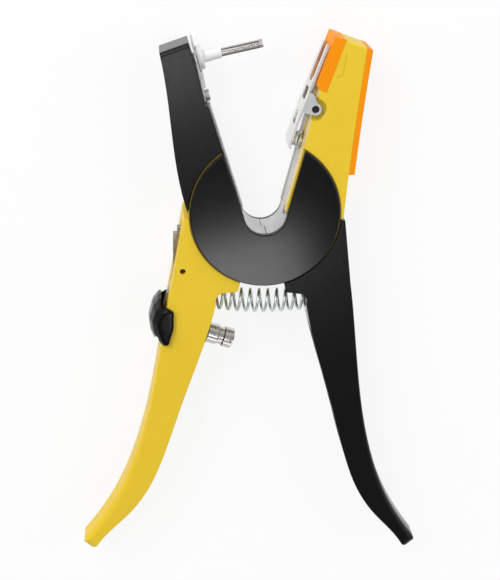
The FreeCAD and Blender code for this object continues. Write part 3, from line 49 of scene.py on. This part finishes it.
# Camera
IMAGE_WIDTH = 500.0
FOCAL_PIXELS = 1370.0
SENSOR = 36.0
TARGET = Vector((-7.7, -39.3, 32.0)) * MM
DISTANCE = 692.0 * MM
TILT = math.radians(20.0)
SWING = math.radians(-11.63)

# Light
HORIZON_LEVEL = 0.95
HORIZON_HEIGHT = 0.25
OVERHEAD_LEVEL = 0.30
OVERHEAD_HEIGHT = 0.8
SIDE_DIM = 0.4
WHITE_SHARE = 0.86
FLOOR_HALF = 4.0
FLOOR_LEVEL = -0.05 * MM

# Rim beside the front cover, which is painted darker as shade: radii and height
RIM_INNER = 37.3 * MM
RIM_OUTER = 38.1 * MM
RIM_LOW = 29.5 * MM

# Yellow wall of the throat: where it lies, where its painted light band begins and where its bare band
# ends
WALL_LEFT = 6.0 * MM
WALL_FROM = -14.0 * MM
WALL_TO = 66.0 * MM
WALL_PAINTED_LIGHT_FROM = 19.0 * MM
WALL_BARE_TO = 12.0 * MM

# Recess for the clip's ear in the yellow jaw, painted darker as shade
EAR_AXIS = (24.6 * MM, 51.9 * MM)
EAR_RADIUS = 9.5 * MM
EAR_LOW = MID
EAR_FLOOR = 28.0 * MM

# Line scored in the jaw's front face, drawn as a painted shade line
JAW_SCORE = [(39.3 * MM, 79.3 * MM), (37.5 * MM, 68.3 * MM), (34.8 * MM, 67.5 * MM)]
SCORE_HALF = 0.2 * MM
SCORE_BLUR = 0.1 * MM

# Springs
COIL_PHASE = 0.4
END_TURN_PITCH = 2.2
RETURN_RADIUS = 5.7 * MM
RETURN_WIRE = 0.75 * MM
RETURN_TURNS = 12.5
RETURN_SAG = 2.0 * MM
JAW_LEAN = math.radians(20.4)
CLIP_SPRING_ALONG = 38.4
CLIP_SPRING_NEAR = 0.9
CLIP_SPRING_FAR = 6.3
CLIP_SPRING_RADIUS = 3.6 * MM
CLIP_SPRING_WIRE = 0.55 * MM
CLIP_SPRING_TURNS = 3.0

# Thumb pad
PAD_VOXEL = 0.5 * MM
PAD_ROUNDS = 9


# Node helpers

def new_material(name):
    material = bpy.data.materials.new(name)
    material.use_nodes = True
    tree = material.node_tree
    tree.nodes.clear()
    output = tree.nodes.new("ShaderNodeOutputMaterial")
    shader = tree.nodes.new("ShaderNodeBsdfPrincipled")
    tree.links.new(shader.outputs["BSDF"], output.inputs["Surface"])
    return material, tree, shader


def place(tree):
    """Object coordinates in metres, which stay with the piece."""
    return tree.nodes.new("ShaderNodeTexCoord").outputs["Object"]


def noise(tree, where, scale, detail=3.0, rough=0.5, stretch=None):
    if stretch:
        mapping = tree.nodes.new("ShaderNodeMapping")
        mapping.inputs["Scale"].default_value = stretch
        tree.links.new(where, mapping.inputs["Vector"])
        where = mapping.outputs["Vector"]
    node = tree.nodes.new("ShaderNodeTexNoise")
    node.inputs["Scale"].default_value = scale
    node.inputs["Detail"].default_value = detail
    node.inputs["Roughness"].default_value = rough
    tree.links.new(where, node.inputs["Vector"])
    return node.outputs["Fac"]


def remap(tree, value, low, high, to_low, to_high):
    node = tree.nodes.new("ShaderNodeMapRange")
    node.inputs["From Min"].default_value = low
    node.inputs["From Max"].default_value = high
    node.inputs["To Min"].default_value = to_low
    node.inputs["To Max"].default_value = to_high
    tree.links.new(value, node.inputs["Value"])
    return node.outputs["Result"]


def mix_colour(tree, factor, a, b):
    node = tree.nodes.new("ShaderNodeMix")
    node.data_type = "RGBA"
    tree.links.new(factor, node.inputs["Factor"])
    for socket, colour in ((node.inputs[6], a), (node.inputs[7], b)):
        if isinstance(colour, tuple):
            socket.default_value = (*colour, 1.0)
        else:
            tree.links.new(colour, socket)
    return node.outputs[2]


def math_node(tree, operation, a, b=None):
    node = tree.nodes.new("ShaderNodeMath")
    node.operation = operation
    for index, value in enumerate((a, b)):
        if value is None:
            continue
        if isinstance(value, (int, float)):
            node.inputs[index].default_value = value
        else:
            tree.links.new(value, node.inputs[index])
    return node.outputs[0]


def bump(tree, shader, height, distance, edge):
    """Relief in metres, over an edge that is rounded by the given radius."""
    node = tree.nodes.new("ShaderNodeBump")
    node.inputs["Strength"].default_value = 1.0
    node.inputs["Distance"].default_value = distance
    tree.links.new(height, node.inputs["Height"])
    if edge:
        rounded = tree.nodes.new("ShaderNodeBevel")
        rounded.samples = 4
        rounded.inputs["Radius"].default_value = edge
        tree.links.new(rounded.outputs["Normal"], node.inputs["Normal"])
    tree.links.new(node.outputs["Normal"], shader.inputs["Normal"])


def finish_material(name, dark, light, rough, grain, relief, edge=0.3 * MM, metal=0.0,
                    patch=40.0, stretch=None, specular=0.5, subsurface=0.0, tone=None):
    """A finish with a drifting tint, drifting gloss and fine grain."""
    material, tree, shader = new_material(name)
    where = place(tree)
    drift = noise(tree, where, patch, 4.0, 0.55, stretch)
    fine = noise(tree, where, grain, 3.0, 0.6, stretch)
    tint = remap(tree, drift, 0.3, 0.7, 0.0, 1.0)
    colour = mix_colour(tree, tint, dark, light)
    if tone:
        colour = tone(tree, where, colour)
    tree.links.new(colour, shader.inputs["Base Color"])
    tree.links.new(remap(tree, fine, 0.25, 0.75, rough[0], rough[1]), shader.inputs["Roughness"])
    shader.inputs["Metallic"].default_value = metal
    shader.inputs["Specular IOR Level"].default_value = specular
    if subsurface:
        shader.inputs["Subsurface Weight"].default_value = subsurface
        shader.inputs["Subsurface Radius"].default_value = (1.0, 0.9, 0.8)
        shader.inputs["Subsurface Scale"].default_value = 1.0 * MM
    bump(tree, shader, fine, relief, edge)
    return material


# Tones, painted shade and painted light that belong to a place on a piece

def parts_of(tree, vector):
    split = tree.nodes.new("ShaderNodeSeparateXYZ")
    tree.links.new(vector, split.inputs[0])
    return split.outputs[0], split.outputs[1], split.outputs[2]


def above(tree, value, edge, blur):
    """1 where the value lies above the edge, 0 below it, with a soft step."""
    return remap(tree, value, edge - blur, edge + blur, 0.0, 1.0)


def below(tree, value, edge, blur):
    return remap(tree, value, edge - blur, edge + blur, 1.0, 0.0)


def all_of(tree, *masks):
    result = masks[0]
    for mask in masks[1:]:
        result = math_node(tree, "MULTIPLY", result, mask)
    return result


def facing(tree):
    geometry = tree.nodes.new("ShaderNodeNewGeometry")
    return parts_of(tree, geometry.outputs["Normal"])


def distance_to(tree, x, y, centre):
    across = math_node(tree, "SUBTRACT", x, centre[0])
    along = math_node(tree, "SUBTRACT", y, centre[1])
    squares = math_node(tree, "ADD", math_node(tree, "MULTIPLY", across, across),
                        math_node(tree, "MULTIPLY", along, along))
    return math_node(tree, "SQRT", squares)


def scored_line(tree, x, y, start, end, half):
    """1 on a thin straight line drawn on the face, used as a mask for painted shade."""
    length = math.dist(start, end)
    run = ((end[0] - start[0]) / length, (end[1] - start[1]) / length)
    across = math_node(tree, "SUBTRACT", x, start[0])
    along = math_node(tree, "SUBTRACT", y, start[1])
    way = math_node(tree, "ADD", math_node(tree, "MULTIPLY", across, run[0]),
                    math_node(tree, "MULTIPLY", along, run[1]))
    off = math_node(tree, "SUBTRACT", math_node(tree, "MULTIPLY", along, run[0]),
                    math_node(tree, "MULTIPLY", across, run[1]))
    return all_of(tree, below(tree, math_node(tree, "ABSOLUTE", off), half, SCORE_BLUR),
                  above(tree, way, 0.0, SCORE_BLUR), below(tree, way, length, SCORE_BLUR))


def yellow_tone_and_painted_light(tree, where, colour):
    """Painted shade on the sunk rim beside the cover, painted light on the upper throat wall, bare lower
    throat wall, painted shade in the ear recess and along the scored line.
    """
    x, y, z = parts_of(tree, where)
    nx, _, nz = facing(tree)
    radius = distance_to(tree, x, y, (0.0, 0.0))
    # Painted shade: the sunk rim beside the cover is darkened to golden brown.
    rim_shade = all_of(tree, above(tree, radius, RIM_INNER, 0.05 * MM),
                 below(tree, radius, RIM_OUTER, 0.1 * MM), above(tree, z, RIM_LOW, 0.2 * MM))
    colour = mix_colour(tree, math_node(tree, "MULTIPLY", rim_shade, 0.8), colour, (0.10, 0.055, 0.004))
    wall = all_of(tree, below(tree, nx, -0.6, 0.05), above(tree, x, WALL_LEFT, 1.0 * MM),
                  above(tree, y, WALL_FROM, 1.0 * MM), below(tree, y, WALL_TO, 1.0 * MM))
    # Painted light: the upper band of the throat wall is lit pale cream.
    high = all_of(tree, wall, above(tree, z, WALL_PAINTED_LIGHT_FROM, 0.5 * MM), 0.85)
    colour = mix_colour(tree, high, colour, (0.97, 0.80, 0.40))
    low = all_of(tree, wall, below(tree, z, WALL_BARE_TO, 0.5 * MM))
    colour = mix_colour(tree, low, colour, (0.42, 0.42, 0.41))
    # Painted shade: the floor of the ear recess is darkened olive.
    recess = all_of(tree, below(tree, distance_to(tree, x, y, EAR_AXIS), EAR_RADIUS, 0.1 * MM),
                    above(tree, z, EAR_LOW, 0.5 * MM), below(tree, z, EAR_FLOOR, 0.1 * MM),
                    above(tree, nz, 0.7, 0.1))
    recess_shade = math_node(tree, "MULTIPLY", recess, 0.75)
    colour = mix_colour(tree, recess_shade, colour, (0.36, 0.30, 0.004))
    up = above(tree, nz, 0.7, 0.1)
    # Painted shade: a dark line stands for the shade in the groove scored in the jaw's face.
    for start, end in zip(JAW_SCORE, JAW_SCORE[1:]):
        line = all_of(tree, up, scored_line(tree, x, y, start, end, SCORE_HALF), 0.45)
        colour = mix_colour(tree, line, colour, (0.30, 0.22, 0.004))
    return colour


def nickel_painted_reflection(tree, where, colour):
    """Painted dark reflection on the side of the barrel that faces the handle ends and on its side
    towards -X.
    """
    nx, ny, _ = facing(tree)
    # Painted dark reflection on the barrel's sides facing -Y and -X.
    colour = mix_colour(tree, below(tree, ny, -0.74, 0.12), colour, (0.11, 0.11, 0.10))
    return mix_colour(tree, below(tree, nx, -0.45, 0.1), colour, (0.07, 0.07, 0.065))


# Finishes

# The yellow's base colour carries painted shade and painted light from its place tone.
yellow = finish_material("yellow_powder", (0.800, 0.548, 0.020), (0.835, 0.580, 0.026), (0.40, 0.50),
                         900.0, 0.006 * MM, specular=0.35, tone=yellow_tone_and_painted_light)
black = finish_material("black_powder", (0.0044, 0.0044, 0.0052), (0.0064, 0.0064, 0.0072), (0.18, 0.24),
                        1100.0, 0.005 * MM, edge=0.8 * MM, specular=0.22)
cover = finish_material("cover_plastic", (0.0035, 0.0035, 0.004), (0.005, 0.005, 0.0056), (0.12, 0.14),
                        160.0, 0.002 * MM, edge=0.4 * MM, specular=0.28)
liner = finish_material("bare_aluminium", (0.50, 0.50, 0.50), (0.66, 0.66, 0.66), (0.28, 0.46),
                        500.0, 0.010 * MM, edge=0.15 * MM, metal=1.0, stretch=(6.0, 1.0, 1.0))
steel = finish_material("ground_steel", (0.50, 0.48, 0.46), (0.60, 0.58, 0.56), (0.24, 0.27),
                        60.0, 0.0, edge=0.0, metal=1.0)
screw = finish_material("plated_screw", (0.50, 0.50, 0.49), (0.62, 0.62, 0.60), (0.36, 0.46),
                        800.0, 0.001 * MM, edge=0.0, metal=1.0)
nylon = finish_material("white_nylon", (0.80, 0.80, 0.79), (0.88, 0.88, 0.87), (0.36, 0.48),
                        700.0, 0.008 * MM, subsurface=0.25)
orange = finish_material("orange_plastic", (0.90, 0.272, 0.0010), (0.95, 0.315, 0.002), (0.44, 0.54),
                         700.0, 0.010 * MM, specular=0.12)
bright = finish_material("stamped_steel", (0.70, 0.70, 0.69), (0.82, 0.82, 0.81), (0.26, 0.36),
                         600.0, 0.002 * MM, edge=0.0, metal=1.0)
black_oxide = finish_material("black_oxide", (0.012, 0.012, 0.012), (0.03, 0.028, 0.026), (0.3, 0.45),
                              900.0, 0.008 * MM, metal=0.6)
lever = finish_material("lever_steel", (0.22, 0.19, 0.16), (0.52, 0.48, 0.42), (0.30, 0.52),
                        260.0, 0.02 * MM, edge=0.2 * MM, metal=1.0, patch=180.0)
rubber = finish_material("washer_rubber", (0.012, 0.012, 0.012), (0.02, 0.02, 0.02), (0.6, 0.8),
                         900.0, 0.02 * MM)
# The nickel's base colour carries a painted dark reflection on one side.
nickel = finish_material("nickel", (0.66, 0.65, 0.63), (0.78, 0.77, 0.75), (0.22, 0.30),
                         500.0, 0.002 * MM, edge=0.0, metal=1.0, tone=nickel_painted_reflection)
zinc = finish_material("zinc_wire", (0.66, 0.73, 0.76), (0.84, 0.89, 0.90), (0.34, 0.46),
                       1200.0, 0.006 * MM, edge=0.0, metal=1.0)
thumb = finish_material("thumb_plastic", (0.003, 0.003, 0.004), (0.005, 0.005, 0.006), (0.12, 0.18),
                        500.0, 0.003 * MM, edge=0.0, specular=0.16)

NODE_FINISH = {
    "yellow_arm": yellow, "black_arm": black,
    "front_hub_cover": cover, "rear_hub_cover": cover, "cover_screws": screw,
    "black_throat_liner": liner, "yellow_throat_liner": liner,
    "pin_base": nylon, "sampling_pin": steel, "pin_core": steel,
    "jaw_face_plate": liner, "pin_lock_plate": liner, "liner_screw": screw,
    "tag_pad": orange, "jaw_back_strip": orange,
    "tag_clip": bright, "clip_pin": black_oxide, "clip_spring": zinc,
    "thumb_rocker": lever, "thumb_pad": thumb, "lever_pin": black_oxide,
    "stop_washer": rubber, "stop_barrel": nickel, "stop_nut": nickel, "return_spring": zinc,
}
for name, node in nodes.items():
    node.data.materials.clear()
    node.data.materials.append(NODE_FINISH[name])


# Springs

def tube_mesh(name, path, radius, sides=12):
    """A round wire along a path of points, closed with flat ends."""
    path = np.asarray(path, float)
    along = np.gradient(path, axis=0)
    along /= np.linalg.norm(along, axis=1)[:, None]
    side = np.cross(along[0], (0.0, 0.0, 1.0))
    vertices = []
    for index, centre in enumerate(path):
        side = side - along[index] * side.dot(along[index])
        side /= np.linalg.norm(side)
        other = np.cross(along[index], side)
        for step in range(sides):
            angle = 2.0 * math.pi * step / sides
            vertices.append(centre + radius * (math.cos(angle) * side + math.sin(angle) * other))
    faces = []
    for ring in range(len(path) - 1):
        for step in range(sides):
            a = ring * sides + step
            b = ring * sides + (step + 1) % sides
            faces.append((a, b, b + sides, a + sides))
    faces.append(tuple(reversed(range(sides))))
    faces.append(tuple(len(vertices) - sides + step for step in range(sides)))
    mesh = bpy.data.meshes.new(name)
    mesh.from_pydata([tuple(v) for v in vertices], [], faces)
    mesh.validate()
    for polygon in mesh.polygons:
        polygon.use_smooth = len(polygon.vertices) == 4
    piece = bpy.data.objects.new(name, mesh)
    bpy.context.scene.collection.objects.link(piece)
    return piece


def coil_path(start, end, radius, wire, turns, phase, sag, steps=40):
    """The centre line of a compression spring with closed end turns."""
    start, end = np.array(start), np.array(end)
    axis = end - start
    length = np.linalg.norm(axis)
    axis /= length
    up = np.array((0.0, 0.0, 1.0))
    side = np.cross(up, axis)
    closed = END_TURN_PITCH * wire / length
    total = int(turns * steps)
    points = []
    for index in range(total + 1):
        turn = index / steps
        into = min(turn, 1.0) * closed
        middle = min(max(turn - 1.0, 0.0), turns - 2.0) / (turns - 2.0) * (1.0 - 2.0 * closed)
        out = max(turn - (turns - 1.0), 0.0) * closed
        share = into + middle + out
        angle = phase + 2.0 * math.pi * turn
        bow = sag * math.sin(math.pi * share)
        centre = start + axis * (wire + share * (length - 2.0 * wire)) - side * bow
        points.append(centre + radius * (math.cos(angle) * up + math.sin(angle) * side))
    return points


spring_left = (-28.1 * MM, -47.7 * MM, MID)
spring_right = (24.7 * MM, -49.6 * MM, MID)
coil_line = coil_path(spring_left, spring_right, RETURN_RADIUS, RETURN_WIRE, RETURN_TURNS,
                      COIL_PHASE, RETURN_SAG)
coil = tube_mesh("return_spring_wire", coil_line, RETURN_WIRE)
coil.data.materials.append(zinc)
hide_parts("return_spring")
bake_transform(coil)


def beside_jaw(across):
    """A point on the clip spring's axis, a distance in mm into the yellow jaw."""
    return (
        (across * math.cos(JAW_LEAN) + CLIP_SPRING_ALONG * math.sin(JAW_LEAN)) * MM,
        (CLIP_SPRING_ALONG * math.cos(JAW_LEAN) - across * math.sin(JAW_LEAN)) * MM,
        MID,
    )


clip_end = beside_jaw(CLIP_SPRING_NEAR)
pocket_end = beside_jaw(CLIP_SPRING_FAR)
clip_coil_line = coil_path(clip_end, pocket_end, CLIP_SPRING_RADIUS, CLIP_SPRING_WIRE,
                           CLIP_SPRING_TURNS, COIL_PHASE, 0.0)
clip_coil = tube_mesh("clip_spring_wire", clip_coil_line, CLIP_SPRING_WIRE)
clip_coil.data.materials.append(zinc)
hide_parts("clip_spring")
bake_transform(clip_coil)


# Thumb pad

def rounded_copy(node_name, piece_name, voxel, rounds):
    """The solid's form with its facets run into one another, as a moulding has them."""
    mesh = nodes[node_name].data.copy()
    mesh.transform(nodes[node_name].matrix_world)
    mesh.materials.clear()
    piece = bpy.data.objects.new(piece_name, mesh)
    bpy.context.scene.collection.objects.link(piece)
    remesh = piece.modifiers.new("closed", "REMESH")
    remesh.mode = "VOXEL"
    remesh.voxel_size = voxel
    soften = piece.modifiers.new("soft", "SMOOTH")
    soften.factor = 0.5
    soften.iterations = rounds
    shape = piece.evaluated_get(bpy.context.evaluated_depsgraph_get())
    finished = bpy.data.meshes.new_from_object(shape)
    piece.modifiers.clear()
    piece.data = finished
    for polygon in finished.polygons:
        polygon.use_smooth = True
    return piece


pad = rounded_copy("thumb_pad", "thumb_pad_moulding", PAD_VOXEL, PAD_ROUNDS)
pad.data.materials.append(thumb)
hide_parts("thumb_pad")
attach(pad, "thumb_lever")


# Floor, light and camera

def floor_material():
    """White paper that shows as white to the eye and to reflections, and still takes a shadow."""
    material, tree, shader = new_material("white_floor")
    where = place(tree)
    shader.inputs["Roughness"].default_value = 0.9
    shader.inputs["Specular IOR Level"].default_value = 0.1
    grain = noise(tree, where, 60.0, 2.0)
    tint = mix_colour(tree, grain, (0.93, 0.93, 0.93), (0.95, 0.95, 0.95))
    tree.links.new(tint, shader.inputs["Base Color"])
    light_path = tree.nodes.new("ShaderNodeLightPath")
    seen = math_node(tree, "MAXIMUM", light_path.outputs["Is Camera Ray"],
                     light_path.outputs["Is Glossy Ray"])
    seen = math_node(tree, "MAXIMUM", seen, light_path.outputs["Is Transmission Ray"])
    white = tree.nodes.new("ShaderNodeEmission")
    both = tree.nodes.new("ShaderNodeMixShader")
    output = [node for node in tree.nodes if node.type == "OUTPUT_MATERIAL"][0]
    tree.links.new(math_node(tree, "MULTIPLY", seen, WHITE_SHARE), both.inputs[0])
    tree.links.new(shader.outputs["BSDF"], both.inputs[1])
    tree.links.new(white.outputs["Emission"], both.inputs[2])
    tree.links.new(both.outputs["Shader"], output.inputs["Surface"])
    return material


def flat_sheet(name, half, level, material):
    mesh = bpy.data.meshes.new(name)
    corners = [(-half, -half, level), (half, -half, level), (half, half, level), (-half, half, level)]
    mesh.from_pydata(corners, [], [(0, 1, 2, 3)])
    mesh.materials.append(material)
    sheet = bpy.data.objects.new(name, mesh)
    bpy.context.scene.collection.objects.link(sheet)
    return sheet


floor = flat_sheet("floor", FLOOR_HALF, FLOOR_LEVEL, floor_material())


def studio_world():
    """White walls all round and a dim ceiling, so that flat tops don't turn grey."""
    world = bpy.data.worlds.new("studio")
    world.use_nodes = True
    tree = world.node_tree
    direction = tree.nodes.new("ShaderNodeTexCoord").outputs["Generated"]
    split = tree.nodes.new("ShaderNodeSeparateXYZ")
    tree.links.new(direction, split.inputs[0])
    height = split.outputs[2]
    level = remap(tree, height, HORIZON_HEIGHT, OVERHEAD_HEIGHT, HORIZON_LEVEL, OVERHEAD_LEVEL)
    side = remap(tree, split.outputs[1], -1.0, 1.0, SIDE_DIM, 1.0)
    level = math_node(tree, "MULTIPLY", level, side)
    background = tree.nodes["Background"]
    background.inputs["Color"].default_value = (1.0, 1.0, 1.0, 1.0)
    tree.links.new(level, background.inputs["Strength"])
    return world


bpy.context.scene.world = studio_world()


def softbox(name, position, aim, width, height, energy):
    light = bpy.data.lights.new(name, "AREA")
    light.shape = "RECTANGLE"
    light.size = width
    light.size_y = height
    light.energy = energy
    lamp = bpy.data.objects.new(name, light)
    lamp.location = position
    lamp.rotation_euler = (Vector(aim) - Vector(position)).to_track_quat("-Z", "Y").to_euler()
    bpy.context.scene.collection.objects.link(lamp)


softbox("key", (-0.70, 0.80, 1.0), (0.0, 0.0, 0.0), 0.9, 0.9, 12.8)
softbox("side", (1.05, 0.2, 0.9), (0.0, 0.0, 0.0), 0.8, 0.8, 4.8)
softbox("front", (-0.2, -1.25, 0.75), (0.0, -0.04, 0.0), 0.9, 0.6, 2.2)
softbox("cover_glint", (0.070, -0.440, 1.2), (-0.01, -0.02, 0.03), 0.17, 0.12, 0.52)
softbox("jaw_glint", (-0.05, -0.03, 1.2), (-0.05, 0.08, 0.03), 0.16, 0.12, 0.60)

camera_data = bpy.data.cameras.new("camera")
camera_data.sensor_fit = "HORIZONTAL"
camera_data.sensor_width = SENSOR
camera_data.lens = FOCAL_PIXELS * SENSOR / IMAGE_WIDTH
camera = bpy.data.objects.new("camera", camera_data)
bpy.context.scene.collection.objects.link(camera)
flat = math.sin(TILT)
towards = Vector((flat * math.sin(SWING), flat * math.cos(SWING), math.cos(TILT)))
across = Vector((0.0, 1.0, 0.0)).cross(towards).normalized()
upward = towards.cross(across)
pose = Matrix((across, upward, towards)).transposed().to_4x4()
pose.translation = TARGET + towards * DISTANCE
camera.matrix_world = pose
bpy.context.scene.camera = camera
bpy.context.scene.view_settings.view_transform = "Standard"
